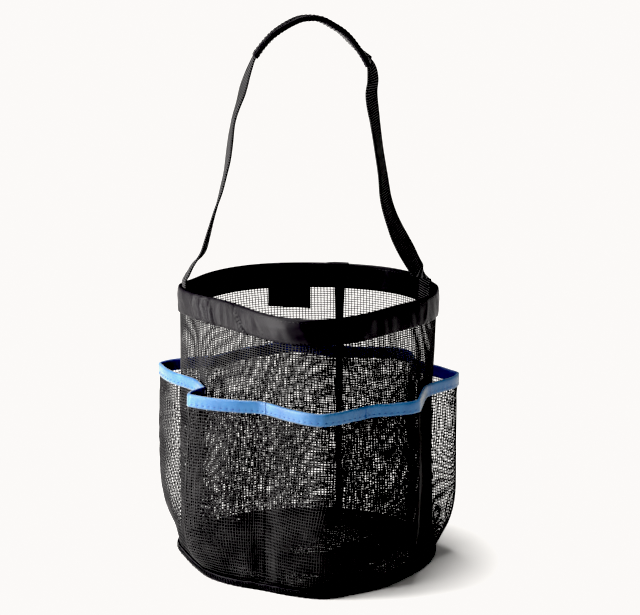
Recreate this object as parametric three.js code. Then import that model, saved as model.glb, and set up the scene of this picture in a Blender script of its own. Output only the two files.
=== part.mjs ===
// Mesh shower caddy: a soft round tote of open black net. A folded cloth band binds its mouth, seven
// net pockets with a blue binding run round its outside, and one webbing strap swings over the mouth.
// Millimetres, +Z up. The origin is under the middle of the base, the front faces -Y, and the strap's
// two ends lie on the -X and +X sides.

import * as THREE from "three";

// Tote
const toteHeight = 235; // floor to the top of the rim band
const mouthRadius = 110; // half the mouth, from strap end to strap end
const waistInset = 4; // how much less the radius is at the top edge of the pockets
const baseInset = 4; // and on the floor
const netThickness = 1.2; // the tote's own net
const clearance = 0.3; // between layers that are sewn together

// Rim band, a strip folded over the net's top edge with its two ends lapped at the back
const bandHeight = 23;
const bandCloth = 0.8;
const bandRounding = 0.5;
const lapLength = 12;
const lapStep = 4; // the length in which the upper end climbs onto the lower one
const lapAngleShare = 0.18; // where the upper end stops, as a share of a full turn from +X

// Pockets and their binding
const pocketHeight = 159; // floor to the top of the binding
const pocketNet = 1;
const bellyHeight = 75; // the height over which a pocket swells from the hem to its full depth
const bellyPower = 4; // how early in that height it fills out
const bellyDepth = 30; // how far the deepest pocket stands off the tote
const bindingHeight = 10.5;
const bindingCloth = 0.6;
const tuckHeight = 9; // below the binding, where the pocket's net draws in to the wall's

// A plain grid of openings that stands for the nets' fine mesh
const meshBar = 7; // the net kept between two rows of openings
const openingHeight = 21;
const columnSteps = 4; // ring stations from one upright bar to the next, of which the bar takes one
const barStep = 1; // the first bar's station, so that the seam's tape lies on a bar

// Base
const hemHeight = 5;
const hemThickness = 1;

// Tape over the tote's one upright seam, and the bare woven label beside it
const tapeWidth = 9.5;
const tapeThickness = 0.8;
const labelWidth = 38;
const labelHeight = 18;
const labelThickness = 0.6;
const labelAngleShare = 0.259;

// Strap and grip
const strapWidth = 25;
const strapThickness = 1.8;
const strapTop = 459; // floor to the middle of the strap's thickness at its crown
const strapDepth = 25; // how far the strap's plane lies behind the tote's middle
const strapSewnLength = 21; // the length of each end that is sewn inside the band
const rimClearance = 1.5; // from the rim to the strap's edge when it lies flat over the mouth
const gripWall = 1;
const gripRounding = 0.8;
const gripStartShare = 0.39; // where the grip starts and ends along the strap
const gripEndShare = 0.624;

const ringCount = 72; // stations round the tote
const archCount = 72; // stations along the strap
const footCount = 4; // more of them in each half-round foot
const fullTurn = Math.PI * 2;
const ringStep = fullTurn / ringCount;

// Radii round the tote in equal steps from +X through +Y: a soft corner at each strap end, a front that
// comes to a blunt point, and a round back
const rimShares = [
  0.995, 0.99, 1.015, 1.01, 0.985, 0.975, 0.98, 0.998, 1.0, 0.985, 0.968, 1.0,
  0.895, 0.768, 0.72, 0.745, 0.836, 0.94, 0.982, 0.927, 0.868, 0.845, 0.895, 0.96,
];
const waistShares = [
  1.0, 1.0, 1.01, 1.01, 1.0, 0.98, 0.975, 0.99, 1.0, 0.99, 1.03, 1.035,
  0.87, 0.85, 0.82, 0.8, 0.79, 0.87, 0.955, 0.965, 0.91, 0.9, 0.925, 0.975,
];
const baseShares = [
  1.01, 1.01, 1.01, 1.01, 1.0, 0.985, 0.975, 0.985, 1.0, 1.03, 1.08, 1.055,
  0.975, 0.94, 0.94, 0.915, 0.89, 0.94, 1.005, 0.965, 0.955, 0.93, 0.945, 0.98,
];

// Each pocket starts at a seam, given as a share of a full turn, and ends at the next pocket's seam.
// Its front panel stands off the tote by its share of the belly's depth at the tip of its gusset, and
// from its landing share on it lies against the tote.
const pockets = [
  { name: "pocket_back_right", seamShare: 0.0694, depthShare: 0.6, tipShare: 0.4, landShare: 0.94 },
  { name: "pocket_back_left", seamShare: 0.191, depthShare: 0.567, tipShare: 0.42, landShare: 0.94 },
  { name: "pocket_left", seamShare: 0.3611, depthShare: 0.84, tipShare: 0.37, landShare: 0.64 },
  { name: "pocket_front_left", seamShare: 0.5375, depthShare: 0.733, tipShare: 0.22, landShare: 0.92 },
  { name: "pocket_front", seamShare: 0.6708, depthShare: 0.4, tipShare: 0.6, landShare: 0.96 },
  { name: "pocket_front_right", seamShare: 0.8056, depthShare: 0.6, tipShare: 0.5, landShare: 0.95 },
  { name: "pocket_right", seamShare: 0.9444, depthShare: 0.667, tipShare: 0.45, landShare: 0.95 },
];
const pleatPower = 1.4; // how fast a pocket's panel draws in behind the tip of its gusset

// The strap's arch from its left foot to its right: sideways as a share of half the span between the
// feet, upwards as a share of the rise from the feet to the crown
const archShares = [
  [-1, 0], [-0.992, 0.028], [-0.95, 0.071], [-0.864, 0.117], [-0.818, 0.167], [-0.762, 0.257],
  [-0.691, 0.359], [-0.643, 0.463], [-0.612, 0.568], [-0.584, 0.631], [-0.515, 0.719],
  [-0.443, 0.818], [-0.391, 0.865], [-0.245, 0.943], [-0.05, 0.995], [0.031, 1.001],
  [0.121, 0.997], [0.222, 0.973], [0.317, 0.943], [0.468, 0.862], [0.535, 0.82], [0.56, 0.769],
  [0.552, 0.716], [0.585, 0.612], [0.625, 0.506], [0.654, 0.4], [0.692, 0.293], [0.771, 0.189],
  [0.882, 0.091], [0.947, 0.046], [0.99, 0.019], [1, 0],
];
// How far it turns about its own length, in equal steps from foot to foot
const strapTwist = 26 * THREE.MathUtils.DEG2RAD;
const twistShares = [
  0, -0.15, -0.45, -0.69, -0.5, -0.42, -0.28, -0.19, -0.05, 0.01, -0.16, -0.2, 0.04, -0.18,
  -0.27, -0.35, -0.33, -0.38, -0.33, -0.12, -0.04, 0.02, -0.06, -0.23, -0.38, -0.48, -0.36,
  -0.26, -0.22, -0.27, -0.42, -0.52, -0.72, -0.94, -0.98, -0.4, 0,
];

const cloth = (color, roughness) => new THREE.MeshStandardMaterial({ color, roughness, metalness: 0 });
const blackNet = cloth(0x1b1a1c, 0.75);
const blackCloth = cloth(0x151416, 0.6);
const blackWebbing = cloth(0x101011, 0.7);
const blueTape = cloth(0x4f9be6, 0.5);

const { lerp, clamp } = THREE.MathUtils;

// Sizes that follow from the ones above
const waistRadius = mouthRadius - waistInset;
const baseRadius = mouthRadius - baseInset;
const layerSeat = netThickness / 2 + clearance; // from the middle of the tote's net to the next layer
const bandReach = layerSeat + bandCloth; // to the band's outer faces
const bandFoot = toteHeight - bandHeight;
const sheetFoot = netThickness + clearance; // where what stands on the base panel starts
const bindingFoot = pocketHeight - bindingHeight;
const tuckFoot = bindingFoot - tuckHeight;
const bindingGrip = pocketNet / 2 + clearance; // from the middle of the pocket's net to the binding
const bindingSeat = layerSeat + bindingGrip + bindingCloth; // to the middle of the binding
const pocketSeat = layerSeat + pocketNet / 2;
const hemSeat = layerSeat + pocketNet + clearance;
const hemTop = sheetFoot + hemHeight;
const pivotHeight = toteHeight + rimClearance + strapWidth / 2;
const footRadius = (strapWidth - clearance) / 2; // so that the swinging foot stays clear of the sewn end

// A closed smooth curve through evenly spaced values, read at an angle
function shareAt(shares, angle) {
  const place = ((((angle / fullTurn) % 1) + 1) % 1) * shares.length;
  const step = Math.floor(place);
  const near = [-1, 0, 1, 2].map((k) => shares[(step + k + shares.length) % shares.length]);
  return smoothBetween(place - step, near);
}

// The same for an open row of values, read from 0 at its start to 1 at its end
function rowAt(row, share) {
  const last = row.length - 1;
  const place = clamp(share, 0, 1) * last;
  const step = Math.min(Math.floor(place), last - 1);
  const near = [-1, 0, 1, 2].map((k) => row[clamp(step + k, 0, last)]);
  return smoothBetween(place - step, near);
}

function smoothBetween(t, [before, from, to, after]) {
  const leave = (to - before) / 2;
  const arrive = (after - from) / 2;
  const rise = to - from;
  return from + t * (leave + t * (3 * rise - 2 * leave - arrive + t * (leave + arrive - 2 * rise)));
}

// The middle of the tote's net: straight rulings from the base to the waist, and on to the rim
function wallRadius(angle, z) {
  const waist = waistRadius * shareAt(waistShares, angle);
  if (z < pocketHeight) return lerp(baseRadius * shareAt(baseShares, angle), waist, z / pocketHeight);
  const rim = mouthRadius * shareAt(rimShares, angle);
  return lerp(waist, rim, (z - pocketHeight) / (toteHeight - pocketHeight));
}

// How far a pocket's panel stands off the tote, from its seam to the next one
function pocketDepth(angle, z) {
  const turn = (((angle / fullTurn) % 1) + 1) % 1;
  const count = pockets.length;
  const found = pockets.findLastIndex((pocket) => pocket.seamShare <= turn);
  const index = (found + count) % count;
  const pocket = pockets[index];
  const span = (pockets[(index + 1) % count].seamShare - pocket.seamShare + 1) % 1;
  const across = ((turn - pocket.seamShare + 1) % 1) / span;
  const swell = 1 - Math.pow(1 - clamp((z - hemTop) / bellyHeight, 0, 1), bellyPower);
  const out = THREE.MathUtils.smoothstep(across, 0, pocket.tipShare);
  const drawnIn = clamp((across - pocket.tipShare) / (pocket.landShare - pocket.tipShare), 0, 1);
  const back = Math.pow(1 - drawnIn, pleatPower);
  return bellyDepth * pocket.depthShare * swell * out * back;
}

function pocketRadius(angle, z) {
  return wallRadius(angle, z) + pocketDepth(angle, z);
}

// A point of a surface round the tote, moved outwards along the surface's normal in plan
function skinPoint(radiusAt, angle, offset, z) {
  const nudge = ringStep / 4;
  const at = (turned) => new THREE.Vector2(radiusAt(turned, z), 0).rotateAround(new THREE.Vector2(), turned);
  const along = at(angle + nudge).sub(at(angle - nudge)).normalize();
  const here = at(angle);
  return new THREE.Vector3(here.x + along.y * offset, here.y - along.x * offset, z);
}

// A solid through stations that each hold the same loops of points, the outer loop first. It closes on
// itself, or its ends are filled with the faces given for a section. Each side's diagonal climbs from its
// station to the next, whichever way its loop runs, so that nested layers keep their gap.
function loft(stations, endFaces) {
  const positions = [];
  const triangle = (a, b, c) => positions.push(...a.toArray(), ...b.toArray(), ...c.toArray());
  const spans = endFaces ? stations.length - 1 : stations.length;
  for (let i = 0; i < spans; i++) {
    const here = stations[i];
    const next = stations[(i + 1) % stations.length];
    here.forEach((loop, l) => {
      loop.forEach((point, k) => {
        const after = (k + 1) % loop.length;
        const beside = loop[after];
        const [ahead, opposite] = [next[l][k], next[l][after]];
        if (beside.z < point.z) {
          triangle(point, ahead, beside);
          triangle(ahead, opposite, beside);
        } else {
          triangle(point, opposite, beside);
          triangle(point, ahead, opposite);
        }
      });
    });
  }
  if (endFaces) {
    const first = stations[0].flat();
    const last = stations[stations.length - 1].flat();
    for (const [a, b, c] of endFaces) {
      triangle(first[a], first[b], first[c]);
      triangle(last[a], last[c], last[b]);
    }
  }
  return outward(positions);
}

// Turns a solid's faces outwards where they point inwards
function outward(positions) {
  let volume = 0;
  const [a, b, c] = [new THREE.Vector3(), new THREE.Vector3(), new THREE.Vector3()];
  for (let i = 0; i < positions.length; i += 9) {
    a.fromArray(positions, i);
    b.fromArray(positions, i + 3);
    c.fromArray(positions, i + 6);
    volume += a.dot(b.cross(c));
  }
  if (volume < 0) {
    for (let i = 0; i < positions.length; i += 9) {
      const swap = positions.slice(i + 3, i + 6);
      for (let k = 0; k < 3; k++) {
        positions[i + 3 + k] = positions[i + 6 + k];
        positions[i + 6 + k] = swap[k];
      }
    }
  }
  const geometry = new THREE.BufferGeometry();
  geometry.setAttribute("position", new THREE.Float32BufferAttribute(positions, 3));
  geometry.computeVertexNormals();
  return geometry;
}

// The faces that fill a section of any outline
function filled(loops) {
  const [outline, ...holes] = loops.map((loop) => loop.map(([x, y]) => new THREE.Vector2(x, y)));
  return THREE.ShapeUtils.triangulateShape(outline, holes);
}

// The faces that fill a sheet's section, row by row from one of its sides to the other
function filledSheet(section) {
  const last = section.length - 1;
  const rows = Array.from({ length: section.length / 2 - 1 }, (_, k) => k);
  return rows.flatMap((k) => [[k, k + 1, last - k - 1], [k, last - k - 1, last - k]]);
}

// A strip round the tote: its section is a list of [offset, height], given for each angle
function strip(radiusAt, angles, sectionAt, endFaces) {
  const stations = angles.map((angle) => [
    sectionAt(angle).map(([offset, z]) => skinPoint(radiusAt, angle, offset, z)),
  ]);
  return loft(stations, endFaces);
}

// The section of a sheet between two offsets through a row of heights
function sheetSection(heights, innerAt, outerAt) {
  return [
    ...heights.map((z) => [outerAt(z), z]),
    ...heights.toReversed().map((z) => [innerAt(z), z]),
  ];
}

// Levels of a net between two heights: rows of openings, with a bar of net between each two
function openRows(from, to) {
  const count = Math.max(Math.round((to - from) / (openingHeight + meshBar)), 1);
  const pitch = (to - from + meshBar) / count;
  const feet = Array.from({ length: count }, (_, k) => from + k * pitch);
  return feet.flatMap((foot) => [{ z: foot, opens: true }, { z: foot + pitch - meshBar, opens: false }]);
}
const level = (z) => ({ z, opens: false });

// A sheet of net round the tote. Every row that opens is cut through, apart from its upright bars and
// from the first and last cells of a panel. The outer and inner faces lie to either side of its seat.
function netSheet(radiusAt, angles, levels, seatAt, thickness) {
  const face = (offset) =>
    angles.map((angle) => levels.map(({ z }) => skinPoint(radiusAt, angle, seatAt(z) + offset, z)));
  const [outer, inner] = [face(thickness / 2), face(-thickness / 2)];
  const closes = angles === wholeRing;
  const columns = closes ? angles.length : angles.length - 1;
  const kept = (column, row) => {
    if (row < 0 || row > levels.length - 2) return false;
    if (!closes && (column < 0 || column > columns - 1)) return false;
    if (!closes && (column === 0 || column === columns - 1)) return true;
    const station = Math.round(angles[(column + columns) % columns] / ringStep);
    return station % columnSteps === barStep || !levels[row].opens;
  };
  const positions = [];
  const quad = (...corners) => {
    const [a, b, c, d] = corners.map((corner) => corner.toArray());
    positions.push(...a, ...b, ...c, ...a, ...c, ...d);
  };
  for (let i = 0; i < columns; i++) {
    const next = (i + 1) % angles.length;
    for (let k = 0; k < levels.length - 1; k++) {
      if (!kept(i, k)) continue;
      const corners = [[i, k], [next, k], [next, k + 1], [i, k + 1]];
      const [out, back] = [outer, inner].map((side) => corners.map(([column, row]) => side[column][row]));
      quad(...out);
      quad(back[0], back[3], back[2], back[1]);
      const beside = [[i, k - 1], [i + 1, k], [i, k + 1], [i - 1, k]];
      beside.forEach((cell, a) => {
        const b = (a + 1) % corners.length;
        if (!kept(...cell)) quad(out[b], out[a], back[a], back[b]);
      });
    }
  }
  return outward(positions);
}

// Angles from one to another, through the whole ring's stations between them
function angleRow(from, to) {
  const row = [from];
  const margin = ringStep / 5;
  for (let k = Math.ceil((from + margin) / ringStep); k * ringStep < to - margin; k++) row.push(k * ringStep);
  row.push(to);
  return row;
}

const wholeRing = Array.from({ length: ringCount }, (_, k) => k * ringStep);

function piece(name, geometry, material) {
  const mesh = new THREE.Mesh(geometry, material);
  mesh.name = name;
  return mesh;
}

// Base: a flat panel of net under the wall, the pockets and the hem that binds them together
function basePanel() {
  const edge = wholeRing.map((angle) => skinPoint(wallRadius, angle, hemSeat + hemThickness, 0));
  const outline = new THREE.Shape(edge.map((point) => new THREE.Vector2(point.x, point.y)));
  const geometry = new THREE.ExtrudeGeometry(outline, { depth: netThickness, bevelEnabled: false });
  return piece("base_panel", geometry, blackNet);
}

function baseHem() {
  const section = () => sheetSection([sheetFoot, hemTop], () => hemSeat, () => hemSeat + hemThickness);
  return piece("base_hem", strip(wallRadius, wholeRing, section), blackCloth);
}

// Wall: one tube of net, sewn up at the back under a tape
function wallNet() {
  const lower = [level(sheetFoot), ...openRows(hemTop, tuckFoot)];
  const upper = [...openRows(pocketHeight, bandFoot), level(toteHeight - bandCloth - clearance)];
  const geometry = netSheet(wallRadius, wholeRing, [...lower, ...upper], () => 0, netThickness);
  return piece("wall_net", geometry, blackNet);
}

// A flat patch on the inside of the wall, centred on an angle
function insidePatch(name, angleShare, width, heights, seat, thickness, material) {
  const middle = angleShare * fullTurn;
  const half = width / 2 / wallRadius(middle, heights[0]);
  const section = () => sheetSection(heights, () => -seat - thickness, () => -seat);
  const angles = angleRow(middle - half, middle + half);
  return piece(name, strip(wallRadius, angles, section, filledSheet(section())), material);
}

function backSeamTape() {
  const heights = [sheetFoot, bindingFoot, pocketHeight, bandFoot - clearance];
  const seam = pockets.find((pocket) => pocket.name === "pocket_back_left").seamShare;
  return insidePatch("back_seam_tape", seam, tapeWidth, heights, layerSeat, tapeThickness, blackCloth);
}

function labelPatch() {
  const heights = [bandFoot - clearance - labelHeight, bandFoot - clearance];
  const seats = [heights, layerSeat, labelThickness];
  return insidePatch("label_patch", labelAngleShare, labelWidth, ...seats, blackCloth);
}

// Rim band: both leaves of the fold and its top, with the first end lapped over the last
function rimBand() {
  const start = lapAngleShare * fullTurn;
  const lap = lapLength / mouthRadius;
  const climb = lapStep / mouthRadius;
  const covered = start + lap - clearance / mouthRadius;
  const angles = [start, covered, start + lap, ...angleRow(start + lap + climb, start + fullTurn)];
  angles.push(covered + fullTurn);
  const section = (angle) => {
    const lift = (bandCloth + clearance) * clamp((start + lap + climb - angle) / climb, 0, 1);
    const [inner, outer, top] = [layerSeat + lift, bandReach + lift, toteHeight + lift];
    const leaf = [
      [inner, top - bandCloth], [inner, bandFoot], [outer, bandFoot],
      [outer, top - bandRounding], [outer - bandRounding, top],
    ];
    return [...leaf, ...leaf.toReversed().map(([offset, z]) => [-offset, z])];
  };
  return piece("rim_band", strip(wallRadius, angles, section, filled([section(start)])), blackCloth);
}

// Pockets: each a panel of net from its own seam to the next, drawn in at its foot and its seams
function pocketAngles(index) {
  const from = pockets[index].seamShare * fullTurn;
  const next = pockets[(index + 1) % pockets.length].seamShare * fullTurn;
  const to = next > from ? next : next + fullTurn;
  const halfGap = clearance / waistRadius;
  return angleRow(from + halfGap, to - halfGap);
}

function pocketPanel(pocket, index) {
  const top = pocketHeight - bindingCloth - clearance;
  const levels = [level(sheetFoot), ...openRows(hemTop, tuckFoot), level(bindingFoot), level(top)];
  const seatAt = (z) => (z < bindingFoot ? pocketSeat : bindingSeat);
  const geometry = netSheet(pocketRadius, pocketAngles(index), levels, seatAt, pocketNet);
  return piece(pocket.name, geometry, blackNet);
}

// Binding: one blue tape folded over the top edge of every pocket and caught down at every seam
function pocketBinding() {
  const angles = pockets.flatMap((_, index) => pocketAngles(index));
  const outer = bindingGrip + bindingCloth;
  const underside = pocketHeight - bindingCloth;
  const section = () => [
    [bindingSeat + bindingGrip, underside], [bindingSeat + bindingGrip, bindingFoot],
    [bindingSeat + outer, bindingFoot], [bindingSeat + outer, pocketHeight],
    [bindingSeat - outer, pocketHeight], [bindingSeat - outer, bindingFoot],
    [bindingSeat - bindingGrip, bindingFoot], [bindingSeat - bindingGrip, underside],
  ];
  return piece("pocket_binding", strip(pocketRadius, angles, section), blueTape);
}

// Strap ends: the two flat ends of the strap, sewn to the inner leaf of the band
const sides = [
  { name: "strap_end_left", side: -1 },
  { name: "strap_end_right", side: 1 },
];
const footTip = pivotHeight - strapWidth / 2 + clearance; // the lowest point of the swinging strap
const strapEndSeat = bandReach + clearance;

// The angle at which the rim passes through the strap's plane
function strapAngle(side) {
  let rise = strapDepth / mouthRadius;
  for (let tries = 0; tries < 20; tries++) {
    const angle = side > 0 ? rise : Math.PI - rise;
    rise = Math.asin(strapDepth / wallRadius(angle, toteHeight));
  }
  return side > 0 ? rise : Math.PI - rise;
}

function strapEnd({ name, side }) {
  const heights = [toteHeight - strapSewnLength, footTip - 2 * clearance];
  const place = strapAngle(side) / fullTurn;
  return insidePatch(name, place, strapWidth, heights, strapEndSeat, strapThickness, blackWebbing);
}

// Strap: a flat ribbon along the arch, with a half-round foot at each end about the swing axis
function archCurve() {
  const feet = sides.map(({ side }) =>
    skinPoint(wallRadius, strapAngle(side), -strapEndSeat - strapThickness / 2, toteHeight),
  );
  const middle = (feet[0].x + feet[1].x) / 2;
  const half = (feet[1].x - feet[0].x) / 2;
  const points = archShares.map(
    ([across, up]) => new THREE.Vector3(middle + across * half, 0, lerp(footTip, strapTop, up)),
  );
  return new THREE.CatmullRomCurve3(points, false, "centripetal");
}

// The frame of the ribbon at a share of its length: its middle, its width direction and its normal
function archFrame(curve, share) {
  const middle = curve.getPointAt(share);
  const along = curve.getTangentAt(share);
  const across = new THREE.Vector3(-along.z, 0, along.x);
  const twist = strapTwist * rowAt(twistShares, share);
  const width = new THREE.Vector3(0, Math.cos(twist), 0).addScaledVector(across, Math.sin(twist));
  const thick = new THREE.Vector3().crossVectors(along, width);
  const drop = Math.max(pivotHeight - middle.z, 0);
  const lean = (Math.abs(thick.z) * strapThickness) / 2;
  const half = drop > 0 ? Math.sqrt(footRadius ** 2 - drop ** 2) - lean : strapWidth / 2;
  return { middle: middle.setY(strapDepth), width, thick, half };
}

const arch = archCurve();
const footPlaces = Array.from({ length: footCount }, (_, k) => k / footCount / archCount);
const archPlaces = [
  ...footPlaces,
  ...Array.from({ length: archCount - 1 }, (_, k) => (k + 1) / archCount),
  ...footPlaces.toReversed().map((place) => 1 - place),
];
const archFrames = archPlaces.map((place) => archFrame(arch, place));

// A section of the ribbon, given as [across, through] pairs, at one frame
const placed = ({ middle, width, thick }, loop) =>
  loop.map(([across, through]) =>
    middle.clone().addScaledVector(width, across).addScaledVector(thick, through),
  );
const box = (half, thick) => [[-half, -thick], [half, -thick], [half, thick], [-half, thick]];

function strap() {
  const stations = archFrames.map((frame) => [placed(frame, box(frame.half, strapThickness / 2))]);
  return piece("strap", loft(stations, filled([box(strapWidth / 2, strapThickness / 2)])), blackWebbing);
}

// Grip: a sleeve of cloth wrapped round the crown of the strap and sewn along its edge
function gripSleeve() {
  const half = strapWidth / 2 + clearance;
  const thick = strapThickness / 2 + clearance;
  const [wide, deep] = [half + gripWall, thick + gripWall];
  const outer = [
    [-wide, -deep + gripRounding], [-wide + gripRounding, -deep],
    [wide - gripRounding, -deep], [wide, -deep + gripRounding],
    [wide, deep - gripRounding], [wide - gripRounding, deep],
    [-wide + gripRounding, deep], [-wide, deep - gripRounding],
  ];
  const hole = box(half, thick).toReversed();
  const covered = archFrames.filter((_, k) => archPlaces[k] > gripStartShare && archPlaces[k] < gripEndShare);
  const stations = covered.map((frame) => [placed(frame, outer), placed(frame, hole)]);
  return piece("grip_sleeve", loft(stations, filled([outer, hole])), blackCloth);
}

const caddy = new THREE.Group();
caddy.add(
  basePanel(),
  baseHem(),
  wallNet(),
  backSeamTape(),
  labelPatch(),
  rimBand(),
  ...pockets.map(pocketPanel),
  pocketBinding(),
  ...sides.map(strapEnd),
  strap(),
  gripSleeve(),
);

export default caddy;
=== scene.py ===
"""Mesh shower caddy: the looks of a sewn tote of open black net, round its CAD frame. Metres, +Z up."""

from math import atan2, cos, exp, hypot, pi, radians, sin, sqrt, tau

import bmesh
import bpy
from mathutils import Matrix, Vector, noise


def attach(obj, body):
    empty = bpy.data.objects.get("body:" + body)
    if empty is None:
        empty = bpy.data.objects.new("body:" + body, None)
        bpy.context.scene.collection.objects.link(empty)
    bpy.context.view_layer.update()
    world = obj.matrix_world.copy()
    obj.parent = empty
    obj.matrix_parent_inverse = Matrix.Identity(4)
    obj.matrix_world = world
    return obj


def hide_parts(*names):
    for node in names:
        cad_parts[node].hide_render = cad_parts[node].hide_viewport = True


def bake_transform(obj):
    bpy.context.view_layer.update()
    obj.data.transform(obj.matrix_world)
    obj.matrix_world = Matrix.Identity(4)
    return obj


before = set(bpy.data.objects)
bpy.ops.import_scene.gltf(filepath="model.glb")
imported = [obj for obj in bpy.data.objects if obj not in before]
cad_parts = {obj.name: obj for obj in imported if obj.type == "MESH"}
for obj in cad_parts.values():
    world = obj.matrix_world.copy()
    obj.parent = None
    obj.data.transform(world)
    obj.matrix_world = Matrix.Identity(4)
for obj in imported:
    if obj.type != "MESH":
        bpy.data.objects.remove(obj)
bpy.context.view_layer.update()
MM = 0.001

# The setting: a pale seamless floor, seen from the photograph's viewpoint. A high sun evens out the floor
# and a tall softbox at the left rakes the black cloth, whose other sides fall into deep shade. The curves
# give the photograph's contrast: crushed blacks and a white that stops just short of pure.
camera_place = Vector((-0.1854, -1.7995, 0.650))
camera_turn = radians(-6.2)
camera_tilt = radians(90 - 13.4)
camera_lens = 124.4
floor_reach = 30
studio_white = (1.0, 0.995, 0.985, 1)
floor_white = (0.93, 0.925, 0.915, 1)
top_white = (0.966, 0.949, 0.932)
black_level = 0.042
sun_place = (-0.5, 0.25, 2.6)
sun_power = 4.5
sun_spread = radians(36)
softbox_place = (-0.48, -0.1, 0.3)
softbox_aim = (0, 0, 0.22)
softbox_power = 6.6
softbox_width = 0.22
softbox_height = 0.42
sky_strength = 0.2

scene = bpy.context.scene
camera = bpy.data.objects.new("camera", bpy.data.cameras.new("camera"))
camera.data.lens = camera_lens
camera.data.clip_end = 2 * floor_reach
camera.location = camera_place
camera.rotation_euler = (camera_tilt, 0, camera_turn)
scene.collection.objects.link(camera)
scene.camera = camera
scene.view_settings.view_transform = "Standard"
scene.view_settings.use_curve_mapping = True
curves = scene.view_settings.curve_mapping
curves.extend = "HORIZONTAL"
curves.black_level = (black_level,) * 3
for curve, top in zip(curves.curves, top_white):
    curve.points[-1].location = (1, top)
curves.update()


def lamp(name, kind, place, aim, power, **shape):
    light = bpy.data.lights.new(name, kind)
    light.energy = power
    for setting, value in shape.items():
        setattr(light, setting, value)
    holder = bpy.data.objects.new(name, light)
    holder.location = place
    holder.rotation_euler = (Vector(aim) - Vector(place)).to_track_quat("-Z", "Y").to_euler()
    scene.collection.objects.link(holder)


lamp("floor_sun", "SUN", sun_place, (0, 0, 0), sun_power, angle=sun_spread)
lamp(
    "left_softbox", "AREA", softbox_place, softbox_aim, softbox_power,
    shape="RECTANGLE", size=softbox_width, size_y=softbox_height,
)

world = bpy.data.worlds.new("studio")
world.use_nodes = True
scene.world = world
sky = world.node_tree.nodes["Background"]
sky.inputs["Color"].default_value = studio_white
sky.inputs["Strength"].default_value = sky_strength


def new_material(name, roughness, **sockets):
    """A material, its node tree and its shader, whose plain sockets are named with underscores."""
    material = bpy.data.materials.new(name)
    material.use_nodes = True
    shader = material.node_tree.nodes["Principled BSDF"]
    shader.inputs["Roughness"].default_value = roughness
    for socket, value in sockets.items():
        shader.inputs[socket.replace("_", " ")].default_value = value
    return material, material.node_tree, shader


floor_paper, _, _ = new_material("floor_paper", 0.9, Base_Color=floor_white, Specular_IOR_Level=0)
floor_sheet = bmesh.new()
bmesh.ops.create_grid(floor_sheet, x_segments=1, y_segments=1, size=floor_reach)
floor_mesh = bpy.data.meshes.new("studio_floor")
floor_sheet.to_mesh(floor_mesh)
floor_sheet.free()
floor_mesh.materials.append(floor_paper)
studio_floor = bpy.data.objects.new("studio_floor", floor_mesh)
scene.collection.objects.link(studio_floor)

# The wall: one tube of square netting of round black polyester thread, cut along the thread, sewn up at
# the back and caught at the rim and the base. It rises from a round foot through a waist at the pockets'
# top edge to a mouth with a soft corner at each strap end and a blunt point at the front.
tote_height = 235 * MM
mouth_radius = 110 * MM
waist_radius = 106 * MM
base_radius = 106 * MM
pocket_height = 159 * MM
net_thickness = 1.2 * MM
clearance = 0.3 * MM
layer_seat = net_thickness / 2 + clearance
# Shares of each level's own radius, in equal steps from +X through +Y
rim_shares = [
    0.995, 0.99, 1.015, 1.01, 0.985, 0.975, 0.98, 0.998, 1.0, 0.985, 0.968, 1.0,
    0.895, 0.768, 0.72, 0.745, 0.836, 0.94, 0.982, 0.927, 0.868, 0.845, 0.895, 0.96,
]
waist_shares = [
    1.0, 1.0, 1.01, 1.01, 1.0, 0.98, 0.975, 0.99, 1.0, 0.99, 1.03, 1.035,
    0.87, 0.85, 0.82, 0.8, 0.79, 0.87, 0.955, 0.965, 0.91, 0.9, 0.925, 0.975,
]
base_shares = [
    1.01, 1.01, 1.01, 1.01, 1.0, 0.985, 0.975, 0.985, 1.0, 1.03, 1.08, 1.055,
    0.975, 0.94, 0.94, 0.915, 0.89, 0.94, 1.005, 0.965, 0.955, 0.93, 0.945, 0.98,
]
back_seam_share = 0.191  # of the whole turn, from +X
seam_angle = back_seam_share * tau
net_pitch = 2.75 * MM  # between the upright threads
weft_pitch = 2.02 * MM  # between the level ones
net_thread = 0.82 * MM
weft_thread = 0.79 * MM
wall_foot = 1.6 * MM
wall_top = tote_height - 2 * MM
slack = 1.4 * MM  # how far the loose net billows in and out between its seams
skew = 2.8 * MM  # how far its threads wander from true
skew_seeds = (5.0, 9.0)
waver = 0.9 * MM  # and how far they waver on a smaller scale
waver_scale = 3.4
billow_round = 2.2  # how often the wander comes round and up the tote
billow_rise = 14
settle_height = 50 * MM  # over which it comes to rest towards the floor and the band
settle_band = 20 * MM
wall_lean = 0.045  # how far its upright threads lean, in parts of their height
warp_steps = 34
ring_steps = 144
black_thread = (0.024, 0.0235, 0.0242, 1)
worn_thread = (0.052, 0.051, 0.0518, 1)
thread_clouds = 55  # how fine the patches of worn thread are
fibre_scale = 4000
fibre_relief = 0.05 * MM


def clamp(value, low=0.0, high=1.0):
    return min(max(value, low), high)


def ease(share):
    share = clamp(share)
    return share * share * (3 - 2 * share)


def mix(start, end, share):
    return start + (end - start) * share


def bend(share, start, end, leave, arrive):
    """A value between two ends, which leaves the one and meets the other at a given rate."""
    rise = end - start
    fall = share * (leave + arrive - 2 * rise)
    return start + share * (leave + share * (3 * rise - 2 * leave - arrive + fall))


def cubic(share, before, start, end, after):
    return bend(share, start, end, (end - before) / 2, (after - start) / 2)


def round_share(shares, angle):
    place = (angle / tau % 1) * len(shares)
    step = int(place)
    return cubic(place - step, *(shares[(step + k) % len(shares)] for k in (-1, 0, 1, 2)))


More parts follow.
